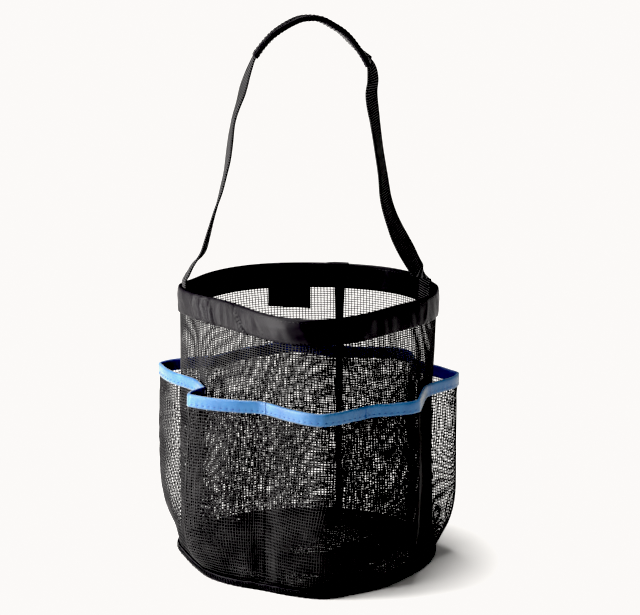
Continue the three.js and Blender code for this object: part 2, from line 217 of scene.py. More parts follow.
def billow(angle, z, seed=0.0, fine=1):
    """A smooth wander between -1 and 1 round the tote, still at the floor and the rim."""
    place = Vector((billow_round * cos(angle), billow_round * sin(angle), billow_rise * z))
    cloud = noise.noise(fine * place + Vector((seed, 0, 0)))
    return cloud * ease(z / settle_height) * ease((tote_height - settle_band - z) / settle_height)


def wall_radius(angle, z):
    waist = waist_radius * round_share(waist_shares, angle)
    if z < pocket_height:
        radius = mix(base_radius * round_share(base_shares, angle), waist, z / pocket_height)
    else:
        rim = mouth_radius * round_share(rim_shares, angle)
        radius = mix(waist, rim, (z - pocket_height) / (tote_height - pocket_height))
    return radius + slack * billow(angle, z)


def skin(radius_at, angle, offset, z):
    """A point of a surface round the tote, moved outwards along the surface's normal in plan."""
    nudge = radians(0.6)
    ahead, behind = (radius_at(angle + turn, z) for turn in (nudge, -nudge))
    along = Vector((
        ahead * cos(angle + nudge) - behind * cos(angle - nudge),
        ahead * sin(angle + nudge) - behind * sin(angle - nudge),
    )).normalized()
    radius = radius_at(angle, z)
    return Vector((radius * cos(angle) + along.y * offset, radius * sin(angle) - along.x * offset, z))


def noise_color(tree, shader, scale, dark, light):
    """Drives the base colour from noise in the object's own space."""
    place = tree.nodes.new("ShaderNodeTexCoord")
    cloud = tree.nodes.new("ShaderNodeTexNoise")
    cloud.inputs["Scale"].default_value = scale
    cloud.inputs["Detail"].default_value = 3
    ramp = tree.nodes.new("ShaderNodeValToRGB")
    ramp.color_ramp.elements[0].position = 0.3
    ramp.color_ramp.elements[0].color = dark
    ramp.color_ramp.elements[1].position = 0.75
    ramp.color_ramp.elements[1].color = light
    tree.links.new(place.outputs["Object"], cloud.inputs["Vector"])
    tree.links.new(cloud.outputs["Fac"], ramp.inputs["Fac"])
    tree.links.new(ramp.outputs["Color"], shader.inputs["Base Color"])


def bump(tree, shader, height, distance, strength):
    """Adds a bump from a height to whatever already drives the shader's normal."""
    relief = tree.nodes.new("ShaderNodeBump")
    relief.inputs["Strength"].default_value = strength
    relief.inputs["Distance"].default_value = distance
    tree.links.new(height, relief.inputs["Height"])
    if shader.inputs["Normal"].links:
        tree.links.new(shader.inputs["Normal"].links[0].from_socket, relief.inputs["Normal"])
    tree.links.new(relief.outputs["Normal"], shader.inputs["Normal"])


black_net, net_tree, net_shader = new_material("black_net", 0.6, Specular_IOR_Level=0.12)
noise_color(net_tree, net_shader, thread_clouds, black_thread, worn_thread)
fibre = net_tree.nodes.new("ShaderNodeTexNoise")
fibre.inputs["Scale"].default_value = fibre_scale
bump(net_tree, net_shader, fibre.outputs["Fac"], fibre_relief, 0.6)


def show(name, mesh, material, body, node=None):
    """Puts a finished mesh in the scene as a piece that rides on a body."""
    mesh.materials.append(material)
    mesh.polygons.foreach_set("use_smooth", [True] * len(mesh.polygons))
    piece = bpy.data.objects.new(name, mesh)
    scene.collection.objects.link(piece)
    if body:
        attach(piece, body)
    if node:
        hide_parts(node)
    return piece


def threads(name, upright, level, closed=False):
    """A mesh of fine round threads, one along each path of points. Only level ones can close."""
    curve = bpy.data.curves.new(name, "CURVE")
    curve.dimensions = "3D"
    curve.bevel_depth = net_thread / 2
    curve.bevel_resolution = 0
    curve.use_fill_caps = True
    for paths, share, closes in ((upright, 1, False), (level, weft_thread / net_thread, closed)):
        for points in paths:
            spline = curve.splines.new("POLY")
            spline.points.add(len(points) - 1)
            spline.points.foreach_set("co", [number for point in points for number in (*point, 1)])
            spline.points.foreach_set("radius", [share] * len(points))
            spline.use_cyclic_u = closes
    holder = bpy.data.objects.new(name, curve)
    mesh = bpy.data.meshes.new_from_object(holder)
    bpy.data.objects.remove(holder)
    bpy.data.curves.remove(curve)
    return mesh


def even_angles(radius_at, z, start, end, pitch):
    """Angles between two seams that lie one thread's pitch apart along the cloth at a height."""
    samples = 720
    steps = [mix(start, end, k / samples) for k in range(samples + 1)]
    points = [skin(radius_at, angle, 0, z) for angle in steps]
    lengths = [0.0]
    for here, there in zip(points, points[1:]):
        lengths.append(lengths[-1] + (there - here).length)
    count = max(round(lengths[-1] / pitch), 1)
    angles, k = [], 0
    for n in range(count + 1):
        target = lengths[-1] * n / count
        while k < samples - 1 and lengths[k + 1] < target:
            k += 1
        angles.append(mix(steps[k], steps[k + 1], (target - lengths[k]) / (lengths[k + 1] - lengths[k])))
    return angles


def net_point(radius_at, angle, offset, z, lean=0.0):
    """A point of a net, whose upright threads may lean and whose threads all wander a little from true."""
    aside, up = (
        skew * billow(angle, z, seed) + waver * billow(angle, z, seed, waver_scale) for seed in skew_seeds
    )
    return skin(radius_at, angle + (aside + lean * (z - pocket_height / 2)) / base_radius, offset, z + up)


wall_angles = even_angles(wall_radius, pocket_height, seam_angle, seam_angle + tau, net_pitch)[:-1]
weft_count = round((wall_top - wall_foot) / weft_pitch)
weft_levels = [mix(wall_foot, wall_top, k / weft_count) for k in range(weft_count + 1)]
warp_levels = [mix(wall_foot, wall_top, k / warp_steps) for k in range(warp_steps + 1)]
ring = [k / ring_steps * tau for k in range(ring_steps)]
warp = [[net_point(wall_radius, angle, 0, z, wall_lean) for z in warp_levels] for angle in wall_angles]
weft = [[net_point(wall_radius, angle, 0, z) for angle in ring] for z in weft_levels]
show("wall_netting", threads("wall_netting", warp, weft, True), black_net, "tote", "wall_net")

# The base: a flat round piece of the same netting, on which the tote stands. Its edge is caught in the hem
# together with the wall and the pockets, and its slack rucks up a little inside them.
base_level = net_thickness / 2
base_edge = layer_seat + 2 * MM
base_rucks = 7 * MM
ruck_scale = 17
ruck_seed = 4.0
ruck_gain = 1.6
ruck_fade = 4  # how fast the rucks rise inwards from the hem
chord_steps = 130  # of 1 mm to either side, in the search for a thread's ends
base_rows = 60  # threads to either side of the middle one
base_stops = 24  # points along each thread


def base_chord(place, across):
    """Where a straight thread of the base lies within the outline, at a place across it."""
    inside = []
    for k in range(-chord_steps, chord_steps + 1):
        along = k * MM
        x, y = (place, along) if across else (along, place)
        if hypot(x, y) < wall_radius(atan2(y, x), 0) + base_edge:
            inside.append(along)
    return inside


def base_point(x, y):
    """A point of the base, whose slack cloth rucks up a little inside its hem."""
    inward = 1 - hypot(x, y) / wall_radius(atan2(y, x), 0)
    ruck = clamp(ruck_gain * noise.noise(Vector((ruck_scale * x, ruck_scale * y, ruck_seed))))
    return Vector((x, y, base_level + base_rucks * ruck * clamp(ruck_fade * inward)))


base_threads = {True: [], False: []}
for across in base_threads:
    for k in range(-base_rows, base_rows + 1):
        place = k * weft_pitch
        inside = base_chord(place, across)
        if len(inside) > 1:
            stops = [mix(inside[0], inside[-1], n / base_stops) for n in range(base_stops + 1)]
            points = [base_point(*((place, at) if across else (at, place))) for at in stops]
            base_threads[across].append(points)
base_mesh = threads("base_netting", *base_threads.values())
show("base_netting", base_mesh, black_net, "tote", "base_panel")

# The hem: one narrow folded strip of black woven polyester binds the base, the wall and the pockets
# together. The cloth's weave shows as a fine relief, with a soft sheen where the light rakes it.
hem_foot = net_thickness + clearance
hem_height = 5 * MM
hem_wave = 0.8 * MM
hem_wave_round = 11
hem_middle = layer_seat + 1.8 * MM
hem_half = 0.5 * MM
hem_belly = 1.5 * hem_half
hem_lip = 1.3 * hem_half
hem_columns, hem_rows = 360, 12
hem_length, hem_girth = 0.66, 0.012
cloth_dark = (0.005, 0.0042, 0.0055, 1)
cloth_light = (0.0105, 0.0092, 0.0116, 1)
cloth_clouds = 30
cloth_thread = 0.6 * MM
cloth_relief = 0.09 * MM


def cloth_strip(name, columns, rows, place, lengths, closed_round=False):
    """A mesh through place(along, across), both from 0 to 1, which is closed across itself and has a UV
    map in metres."""
    strip = bmesh.new()
    uv = strip.loops.layers.uv.new("cloth")
    bmesh.ops.create_grid(strip, x_segments=columns, y_segments=rows, size=0.5)
    for face in strip.faces:
        for loop in face.loops:
            loop[uv].uv = ((loop.vert.co.x + 0.5) * lengths[0], (loop.vert.co.y + 0.5) * lengths[1])
    for vert in strip.verts:
        vert.co = place(vert.co.x + 0.5, vert.co.y + 0.5)
    bmesh.ops.remove_doubles(strip, verts=strip.verts, dist=0.01 * MM)
    if not closed_round:
        ends = [edge for edge in strip.edges if edge.is_boundary]
        bmesh.ops.holes_fill(strip, edges=ends, sides=0)
    bmesh.ops.recalc_face_normals(strip, faces=strip.faces)
    mesh = bpy.data.meshes.new(name)
    strip.to_mesh(mesh)
    strip.free()
    return mesh


def loop_at(points, share):
    """A point of a closed outline of straight runs, at a share of its length."""
    runs = [(points[(k + 1) % len(points)] - point).length for k, point in enumerate(points)]
    reach = share % 1.0 * sum(runs)
    for k, run in enumerate(runs):
        if reach <= run:
            return points[k].lerp(points[(k + 1) % len(points)], reach / run)
        reach -= run
    return points[0]


def wave_lines(tree, flat, direction, period, distortion):
    """A wave texture on the piece's UV map, one wave for each period along a direction."""
    wave = tree.nodes.new("ShaderNodeTexWave")
    wave.bands_direction = direction
    wave.inputs["Scale"].default_value = tau / 20 / period  # a scale of 1 repeats every tau / 20
    wave.inputs["Distortion"].default_value = distortion
    tree.links.new(flat.outputs["UV"], wave.inputs["Vector"])
    return wave


def woven(name, dark, light, clouds, roughness, thread, relief, **sockets):
    """A woven cloth whose two sets of threads cross on the piece's UV map."""
    material, tree, shader = new_material(name, roughness, **sockets)
    noise_color(tree, shader, clouds, dark, light)
    flat = tree.nodes.new("ShaderNodeUVMap")
    flat.uv_map = "cloth"
    over = tree.nodes.new("ShaderNodeMath")
    over.operation = "MAXIMUM"
    for index, direction in enumerate(("X", "Y")):
        wave = wave_lines(tree, flat, direction, thread, 0.6)
        wave.inputs["Detail"].default_value = 1
        tree.links.new(wave.outputs["Fac"], over.inputs[index])
    bump(tree, shader, over.outputs[0], relief, 0.8)
    return material


black_cloth = woven(
    "black_cloth", cloth_dark, cloth_light, cloth_clouds, 0.38, cloth_thread, cloth_relief,
    Specular_IOR_Level=0.17,
)
hem_section = [
    Vector((offset, z))
    for offset, z in (
        (hem_middle + hem_half, hem_foot), (hem_middle + hem_belly, hem_foot + hem_height / 3),
        (hem_middle + hem_lip, hem_foot + hem_height), (hem_middle - hem_half, hem_foot + hem_height),
        (hem_middle - hem_half, hem_foot),
    )
]


def hem_point(along, across):
    offset, z = loop_at(hem_section, across)
    angle = along * tau
    place = Vector((hem_wave_round * cos(angle), hem_wave_round * sin(angle), 0))
    wave = hem_wave * noise.noise(place)
    return skin(wall_radius, angle, offset + wave / 2, z + wave * (z > hem_foot))


hem_mesh = cloth_strip("hem_strip", hem_columns, hem_rows, hem_point, (hem_length, hem_girth), True)
show("hem_strip", hem_mesh, black_cloth, "tote", "base_hem")

# The seam tape: a strip of the same cloth on the inside of the wall, sewn over the raw edges of its one
# upright seam from the hem to the band, and a little narrower at the foot.
tape_width = 9.5 * MM
tape_thickness = 0.8 * MM
tape_foot_share = 0.62
tape_rows = 60
band_height = 23 * MM
under_band = tote_height - band_height - clearance
tucked = 2 * MM  # how far a patch runs up behind the band
patch_round = 24  # points round a patch's edges
taper_power = 6


def patch_mesh(name, middle, width, low, high, thickness, rows, foot_share=1.0, cut=0.0, lift=0.0):
    """A thin patch on the inside of the wall, as a closed flat bag of cloth round its own edges. Its foot
    may be narrower, cut on a slant or lifted off the wall."""
    def point(along, across):
        face = loop_at([Vector((-1, -1)), Vector((1, -1)), Vector((1, 1)), Vector((-1, 1))], across)
        z = mix(low + cut * (1 + face.x) / 2, high, along)
        half = width * mix(foot_share, 1, along ** taper_power) / 2
        angle = middle + face.x * half / wall_radius(middle, z)
        offset = -layer_seat - thickness * (1 - face.y) / 2 - lift * (1 - along)
        return skin(wall_radius, angle, offset, z)
    return cloth_strip(name, rows, patch_round, point, (high - low, 2 * width))


tape_mesh = patch_mesh(
    "seam_tape", seam_angle, tape_width, hem_foot, under_band + tucked, tape_thickness, tape_rows,
    tape_foot_share,
)
show("seam_tape", tape_mesh, black_cloth, "tote", "back_seam_tape")

# The label: a small bare patch of woven cloth inside the back of the wall. The band's lower seam holds its
# upper edge, and its foot hangs free, a little slanted and off the net.
label_angle = radians(93.2)
label_width = 38 * MM
label_height = 18 * MM
label_thickness = 0.6 * MM
label_rows = 12
label_slant = 3 * MM
label_lift = 0.8 * MM
label_mesh = patch_mesh(
    "bare_label", label_angle, label_width, under_band - label_height, under_band + tucked, label_thickness,
    label_rows, cut=label_slant, lift=label_lift,
)
show("bare_label", label_mesh, black_cloth, "tote", "label_patch")

# The rim band: a strip of cloth folded over the net's top edge, its upper end lapped over the lower at
# the back. The fold is stitched down near its top and near its lower edge.
band_cloth = 0.6 * MM
lap_gap = 0.1 * MM
band_foot = tote_height - band_height
band_reach = layer_seat + band_cloth
lap_start = 0.18 * tau
lap_turn = 12 * MM / mouth_radius
lap_climb = 9 * MM / mouth_radius
band_edge = 0.45 * MM
band_columns, band_rows = 720, 44
band_length, band_girth = 0.68, 0.1
band_stand = 0.9  # how far the outer leaf stands off the net, in mm, as are the folds' heights
band_waver = (6, 40, 3.0)  # how fine its waver of 1 mm is round the rim and down the band, and a seed
band_pucker = 0.8
pucker_waver = (13, 60, 7, 7.0)  # the same for a finer one, which runs aslant
band_folds = [  # each fold's angle at the rim and its lean on the way down, in degrees, and its height
    (182.5, 3, 1.8), (187.5, 7, 3.0), (194, 5.5, 2.9), (214, 15, 3.2), (234, 9, 0.8), (38, 5, 1),
    (120, 7, 1), (318, 6, 1.2), (338, -4, 1),
]
fold_width = 2.2 * MM
fold_left, fold_right = 0.7, 1.7  # how steep a fold's two sides are
fold_reach = 4  # how many widths away a fold still counts
fold_rise = 0.4  # the share of the band's height over which the folds rise from the rim
fold_fall = 0.25  # and the one over which they sink to half their height above its foot
corner_turn = 257  # the upright crease at the blunt front, and the degrees over which its sides fall away
corner_reach = (26, 17)
corner_size = 2.8


def bell(away):
    """1 in the middle, falling away smoothly on either side."""
    return exp(-away * away)


def band_radius(angle, z):
    """The outer leaf stands off the net in slanting folds, a crease and a soft waver, which all fade at
    the rim."""
    down = (tote_height - z) / band_height
    turns, rise, seed = band_waver
    bulge = band_stand + noise.noise(Vector((turns * angle, rise * z, seed)))
    turns, rise, slant, seed = pucker_waver
    bulge += band_pucker * noise.noise(Vector((turns * angle + rise * z, slant * angle, seed)))
    for start, lean, size in band_folds:
        away = ((angle - radians(start + lean * down) + pi) % tau - pi) * mouth_radius / fold_width
        if abs(away) < fold_reach:
            bulge += size * bell(away * (fold_right if away > 0 else fold_left))
    turn = (angle / tau * 360 - corner_turn + 180) % 360 - 180
    bulge += corner_size * ease(1 - abs(turn) / corner_reach[turn > 0])
    held = ease(down / fold_rise) * (1 - ease(1 - (1 - down) / fold_fall) / 2)
    return wall_radius(angle, z) + bulge * MM * held


def band_section(lift):
    inner, outer, top = layer_seat + lift, band_reach + lift, tote_height + lift
    leaf = [
        (inner, top - band_cloth), (inner, band_foot + band_edge), (inner + band_edge, band_foot),
        (outer, band_foot + band_edge), (outer, top - 2 * band_edge),
        (outer - band_edge, top - band_edge / 2), (outer - 2 * band_edge, top),
    ]
    return [Vector(point) for point in leaf] + [Vector((-offset, z)) for offset, z in reversed(leaf)]


def band_point(along, across):
    angle = lap_start + along * (tau + lap_turn - clearance / mouth_radius)
    lift = (band_cloth + lap_gap) * clamp((lap_start + lap_turn + lap_climb - angle) / lap_climb)
    offset, z = loop_at(band_section(lift), across)
    return skin(band_radius if offset > 0 else wall_radius, angle, offset, z)


band_mesh = cloth_strip("rim_strip", band_columns, band_rows, band_point, (band_length, band_girth))
show("rim_strip", band_mesh, black_cloth, "tote", "rim_band")

stitch_dark = (0.003, 0.003, 0.0034, 1)
stitch_light = (0.012, 0.0116, 0.0124, 1)
stitch_clouds = 900
black_stitch, stitch_tree, stitch_shader = new_material("black_stitch", 0.35, Specular_IOR_Level=0.3)
noise_color(stitch_tree, stitch_shader, stitch_clouds, stitch_dark, stitch_light)


def stitches(name, seams, thread, length, material, body="tote"):
    """Short threads lying along seams. Each seam is a list of (point, direction, normal) frames."""
    sewing = bmesh.new()
    for seam in seams:
        for point, along, normal in seam:
            along = along.normalized()
            across = normal.cross(along).normalized()
            turn = Matrix((along, across, along.cross(across))).transposed().to_4x4()
            size = Matrix.Diagonal((length / 2, thread / 2, thread / 2, 1))
            place = Matrix.Translation(point) @ turn @ size
            bmesh.ops.create_icosphere(sewing, subdivisions=1, radius=1, matrix=place)
    mesh = bpy.data.meshes.new(name)
    sewing.to_mesh(mesh)
    sewing.free()
    show(name, mesh, material, body)


def round_seam(radius_at, offset, z, start, end, pitch):
    """Frames of a seam that runs round the tote at one height, on the outside or the inside of a layer."""
    frames = []
    for angle in even_angles(radius_at, z, start, end, pitch):
        point = skin(radius_at, angle, offset, z)
        along = skin(radius_at, angle + 0.01, offset, z) - point
        normal = along.cross(Vector((0, 0, 1))).normalized() * (1 if offset > 0 else -1)
        frames.append((point, along, normal))
    return frames


stitch_pitch = 3.4 * MM
stitch_length = 2.7 * MM
stitch_thread = 0.42 * MM
stitch_proud = 0.05 * MM
band_stitch_levels = (tote_height - 3 * MM, band_foot + 2.2 * MM)
band_seams = []
for side, radius_at in ((1, band_radius), (-1, wall_radius)):
    offset = side * (band_reach + stitch_proud)
    for z in band_stitch_levels:
        seam = round_seam(radius_at, offset, z, lap_start + lap_turn, lap_start + tau, stitch_pitch)
        band_seams.append(seam)
stitches("band_stitching", band_seams, stitch_thread, stitch_length, black_stitch)

# The hem's whipping: one thick black thread that runs slantwise over the folded strip, all the way round.
# It holds the strip to the net and gives the tote's lower edge its beaded line.
whip_pitch = 2.7 * MM
whip_thread = 0.9 * MM
whip_length = 4.6 * MM
whip_slant = 0.3
whip_level = hem_foot + 0.45 * hem_height
hem_whip = [
    (
        skin(wall_radius, angle, hem_middle + 2 * hem_half, whip_level),
        Vector((whip_slant * sin(angle), -whip_slant * cos(angle), 1)),
        Vector((cos(angle), sin(angle), 0)),
    )
    for angle in even_angles(wall_radius, hem_foot, 0, tau, whip_pitch)
]
stitches("hem_whipping", [hem_whip], whip_thread, whip_length, black_stitch)

# The pockets: seven panels of the same netting, turned on its side. Each leaves its seam as a gusset,
# turns at its tip and runs back to the next seam, so its mouth stands open. Its foot is gathered a little.
pocket_net = 1.0 * MM
belly_height = 75 * MM
belly_power = 4
belly_depth = 30 * MM
hem_top = hem_foot + hem_height
binding_height = 10.5 * MM
binding_cloth = 0.6 * MM
binding_foot = pocket_height - binding_height
binding_grip = pocket_net / 2 + clearance
binding_seat = layer_seat + binding_grip + binding_cloth
pleat_power = 1.4
pocket_lean = 0.1
lean_share = 0.25  # of a pocket's width, over which the lean grows away from its seams
pocket_top = pocket_height - 1.5 * MM
pocket_bulge = 1.6 * MM
bulge_round, bulge_seed = 1.7, 3.0
bulge_foot, bulge_head = 30 * MM, 20 * MM  # over which it swells above the hem and below the binding
gather_height = 3 * MM
gather_foot, gather_head = 12 * MM, 45 * MM  # over which the gathers rise from the hem and die out again
gather_end = 60 * MM
gather_round, gather_rise = 8, 12
gather_dip = -0.3
seat_rise = 9 * MM  # over which the net moves out to the binding's seat
rising_pitch = weft_pitch * 1.14  # the netting's two pitches swap places, and it is stretched a little
pocket_pitch = net_pitch * 0.96
crossing_pitch = net_pitch * 1.4  # between the points along a crossing thread
rising_steps = 26
pockets = [  # the name, and the shares of its seam, depth, tip and landing
    ("back_right", 0.0694, 0.6, 0.4, 0.94),
    ("back_left", back_seam_share, 0.567, 0.42, 0.94),
    ("left", 0.3611, 0.84, 0.37, 0.64),
    ("front_left", 0.5375, 0.733, 0.22, 0.92),
    ("front", 0.6708, 0.4, 0.6, 0.96),
    ("front_right", 0.8056, 0.6, 0.5, 0.95),
    ("right", 0.9444, 0.667, 0.45, 0.95),
]


def pocket_depth(angle, z):
    turn = angle / tau % 1
    index = max((k for k, pocket in enumerate(pockets) if pocket[1] <= turn), default=len(pockets) - 1)
    _, seam, depth, tip, landing = pockets[index]
    span = (pockets[(index + 1) % len(pockets)][1] - seam) % 1
    across = (turn - seam) % 1 / span
    swell = 1 - (1 - clamp((z - hem_top) / belly_height)) ** belly_power
    back = (1 - clamp((across - tip) / (landing - tip))) ** pleat_power
    return belly_depth * depth * swell * ease(across / tip) * back


def pocket_radius(angle, z):
    swollen = ease((z - hem_top) / bulge_foot) * ease((binding_foot - z) / bulge_head)
    bulge = pocket_bulge * billow(angle * bulge_round, z, bulge_seed) * swollen
    gathered = ease((z - hem_top) / gather_foot) * ease((gather_end - z) / gather_head)
    place = Vector((gather_round * cos(angle), gather_round * sin(angle), gather_rise * z))
    bulge += gather_height * max(noise.noise(place), gather_dip) * gathered
    return wall_radius(angle, z) + pocket_depth(angle, z) + bulge


def pocket_seat(z):
    return mix(layer_seat + pocket_net / 2, binding_seat, ease((z - binding_foot + seat_rise) / seat_rise))


pocket_rows = round((pocket_top - hem_foot) / pocket_pitch)
pocket_levels = [mix(hem_foot, pocket_top, k / pocket_rows) for k in range(pocket_rows + 1)]
rising_levels = [mix(hem_foot, pocket_top, k / rising_steps) for k in range(rising_steps + 1)]
for index, (name, seam, *_) in enumerate(pockets):
    start = seam * tau
    end = pockets[(index + 1) % len(pockets)][1] * tau
    end += tau if end < start else 0
    rising = even_angles(pocket_radius, belly_height, start, end, rising_pitch)
    crossing = even_angles(pocket_radius, belly_height, start, end, crossing_pitch)
    warp = []
    for k, angle in enumerate(rising):
        held = min(k, len(rising) - 1 - k) / len(rising)
        lean = (-1) ** index * pocket_lean * ease(held / lean_share)
        warp.append([net_point(pocket_radius, angle, pocket_seat(z), z, lean) for z in rising_levels])
    weft = [
        [net_point(pocket_radius, angle, pocket_seat(z), z) for angle in crossing] for z in pocket_levels
    ]
    pocket_mesh = threads(f"pocket_netting_{name}", warp, weft)
    show(f"pocket_netting_{name}", pocket_mesh, black_net, "tote", f"pocket_{name}")

# The binding: one blue satin tape folded over the pockets' top edges. It follows them out along each
# gusset and back to each seam, where it is stitched down through the wall. Its inner leaf is painted shade:
# a darker navy copy of the blue.
tape_edge = 0.25 * MM
tape_blue = (0.013, 0.09, 0.24, 1), (0.032, 0.145, 0.32, 1)
# Painted shade: the tape's blue darkened to navy for the leaf that is turned from the light
tape_painted_shade = (0.036, 0.046, 0.16, 1), (0.046, 0.06, 0.2, 1)
tape_clouds = 70
tape_thread = 0.9 * MM
tape_relief = 0.09 * MM
shaded_leaf_relief = 0.18 * MM
tape_sway = 0.5 * MM
tape_sway_round = 7
binding_step = 1 * MM
binding_rows = 30
binding_length, binding_girth = 0.86, 0.045
binding_row = binding_foot + 2.8 * MM  # the row of stitches that holds the tape, and their pitch
binding_pitch = 5.2 * MM
binding_dip = 0.35 * MM  # how deep and how far to either side the stitches pull it in
binding_pull = 1.6 * MM
binding_beat = 0.4  # the swing of that pull, which is weakest midway between two stitches
inner_turn = -0.05  # a face that looks further inwards than this gets the navy of painted shade
blue_binding = woven(
    "blue_binding", *tape_blue, tape_clouds, 0.4, tape_thread, tape_relief,
    Specular_IOR_Level=0.5, Sheen_Weight=0.5, Sheen_Roughness=0.4, Sheen_Tint=(1.0, 0.85, 0.5, 1),
)
painted_shade_binding = woven("painted_shade_binding", *tape_painted_shade, tape_clouds, 0.5, tape_thread, shaded_leaf_relief)


def binding_section():
    outer = binding_grip + binding_cloth
    leaf = [
        (binding_grip, pocket_height - binding_cloth), (binding_grip, binding_foot + tape_edge),
        (binding_grip + tape_edge, binding_foot), (outer, binding_foot + tape_edge),
        (outer, pocket_height - 2 * tape_edge), (outer - 2 * tape_edge, pocket_height),
    ]
    both = leaf + [(-offset, z) for offset, z in reversed(leaf)]
    return [Vector((binding_seat + offset, z)) for offset, z in both]


binding_loop = binding_section()
binding_angles = even_angles(pocket_radius, pocket_height, 0, tau, binding_step)


def binding_point(along, across):
    place = along * (len(binding_angles) - 1)
    step = min(int(place), len(binding_angles) - 2)
    angle = mix(binding_angles[step], binding_angles[step + 1], place - step)
    offset, z = loop_at(binding_loop, across)
    sway_place = Vector((tape_sway_round * cos(angle), tape_sway_round * sin(angle), 1.0))
    beat = 1 - binding_beat + binding_beat * cos(place * binding_step / binding_pitch * tau)
    if offset > binding_seat:
        offset -= binding_dip * beat * bell((z - binding_row) / binding_pull)
    return skin(pocket_radius, angle, offset, z + tape_sway * noise.noise(sway_place))


binding_mesh = cloth_strip(
    "binding_tape", len(binding_angles) - 1, binding_rows, binding_point,
    (binding_length, binding_girth), True,
)
show("binding_tape", binding_mesh, blue_binding, "tote", "pocket_binding")
# The inward-looking faces take the darker navy copy of the tape, as painted shade
binding_mesh.materials.append(painted_shade_binding)
for face in binding_mesh.polygons:
    outward = Vector((face.center.x, face.center.y, 0)).normalized()
    face.material_index = int(face.normal.dot(outward) < inner_turn)

blue_dark = (0.012, 0.035, 0.17, 1)
blue_light = (0.02, 0.06, 0.26, 1)
blue_stitch, blue_tree, blue_shader = new_material("blue_stitch", 0.4)
noise_color(blue_tree, blue_shader, stitch_clouds, blue_dark, blue_light)
binding_outside = binding_seat + binding_grip + binding_cloth
binding_thread = 0.8 * MM
binding_stitch = 2.6 * MM
stitch_sunk = 0.3 * MM
binding_seam = round_seam(pocket_radius, binding_outside - stitch_sunk, binding_row, 0, tau, binding_pitch)
stitches("binding_stitching", [binding_seam], binding_thread, binding_stitch, blue_stitch)

# The dividers: rows of stitches that catch the pockets' netting to the wall at each seam, with a dense
# bar of thread through the binding where each row ends.
divider_thread = 0.55 * MM
divider_stitch = 3 * MM
divider_steps = 40
bar_thread = 0.7 * MM
bar_stitch = 1.5 * MM
bar_steps = 7
bar_inset = 1 * MM
divider_rows, bar_rows = [], []
for _, seam, *_ in pockets:
    angle = seam * tau
    outward = Vector((cos(angle), sin(angle), 0))
    upward = Vector((0, 0, 1))
    seat = layer_seat + pocket_net
    rise = [mix(hem_top, binding_foot, k / divider_steps) for k in range(divider_steps + 1)]
    divider_rows.append([(skin(wall_radius, angle, seat, z), upward, outward) for z in rise])
    low, high = binding_foot + bar_inset, pocket_height - bar_inset
    rise = [mix(low, high, k / bar_steps) for k in range(bar_steps + 1)]
    bar_rows.append([(skin(pocket_radius, angle, binding_outside, z), upward, outward) for z in rise])
stitches("divider_stitching", divider_rows, divider_thread, divider_stitch, black_stitch)
stitches("binding_bars", bar_rows, bar_thread, bar_stitch, blue_stitch)

# The strap: one length of black webbing. Its two ends are sewn flat inside the band, and between them it
# stands up in an arch that swings about them, leaning and twisting along its length.
strap_width = 25 * MM
strap_thickness = 1.8 * MM
strap_top = 459 * MM
strap_depth = 25 * MM
sewn_length = 21 * MM
foot_rise = 1.5 * MM
foot_level = tote_height + foot_rise + clearance
strap_seat = band_reach + clearance + strap_thickness / 2
# Shares of the arch's half span and of its rise, from the left foot to the right
arch_shares = [
    (-1, 0), (-0.965, 0.028), (-0.918, 0.068), (-0.836, 0.117), (-0.8, 0.167), (-0.746, 0.257),
    (-0.675, 0.359), (-0.626, 0.463), (-0.592, 0.568), (-0.568, 0.631), (-0.508, 0.719),
    (-0.439, 0.818), (-0.391, 0.865), (-0.245, 0.943), (-0.05, 0.995), (0.031, 1.001),
    (0.121, 0.997), (0.222, 0.973), (0.317, 0.943), (0.468, 0.862), (0.535, 0.82), (0.555, 0.769),
    (0.544, 0.716), (0.573, 0.612), (0.606, 0.506), (0.641, 0.4), (0.676, 0.293), (0.754, 0.189),
    (0.862, 0.091), (0.915, 0.046), (0.955, 0.019), (1, 0),
]
strap_twist = radians(26)  # of which the strap's turns are shares, in equal steps along the arch
twist_shares = [
    -0.15, -0.2, -0.5, -0.46, -0.35, -0.28, -0.12, -0.07, 0.08, 0.08, -0.03, 0, 0.2,
    0.06, -0.14, -0.18, -0.16, -0.16, -0.18, -0.18, -0.16, -0.08, 0.22, 0.86, 1.06, 1.04,
    0.9, 0.82, 0.8, 0.84, 0.97, 1.04, 1.14, 1.36, 1.42, 1.24, 1.1,
]
foot_blend = 10 * MM
foot_rounds = 20
arch_steps = 30  # points from one of the arch's places to the next


def foot_angle(side):
    """The angle at which the rim passes through the strap's plane, found in small steps from the X axis."""
    angle = 0 if side > 0 else pi
    for _ in range(foot_rounds):
        rise = strap_depth / wall_radius(angle, tote_height)
        angle = atan2(rise, side * sqrt(1 - rise * rise))
    return angle


def smooth_run(points, steps):
    """Points of a centripetal smooth curve through a row of points."""
    row = [2 * points[0] - points[1], *points, 2 * points[-1] - points[-2]]
    run = []
    for before, start, end, after in zip(row, row[1:], row[2:], row[3:]):
        gap = [sqrt((b - a).length) for a, b in ((before, start), (start, end), (end, after))]
        leave = (start - before) / gap[0] - (end - before) / (gap[0] + gap[1]) + (end - start) / gap[1]
        arrive = (end - start) / gap[1] - (after - start) / (gap[1] + gap[2]) + (after - end) / gap[2]
        for k in range(steps):
            run.append(bend(k / steps, start, end, leave * gap[1], arrive * gap[1]))
    return run + [points[-1]]


left_foot, right_foot = (skin(wall_radius, foot_angle(side), -strap_seat, tote_height) for side in (-1, 1))
arch_middle = (left_foot.x + right_foot.x) / 2
arch_half = (right_foot.x - left_foot.x) / 2
arch_run = smooth_run(
    [
        Vector((arch_middle + across * arch_half, strap_depth, mix(foot_level, strap_top, up)))
        for across, up in arch_shares
    ],
    arch_steps,
)
arch_reach = [0.0]
for here, there in zip(arch_run, arch_run[1:]):
    arch_reach.append(arch_reach[-1] + (there - here).length)
arch_length = arch_reach[-1]


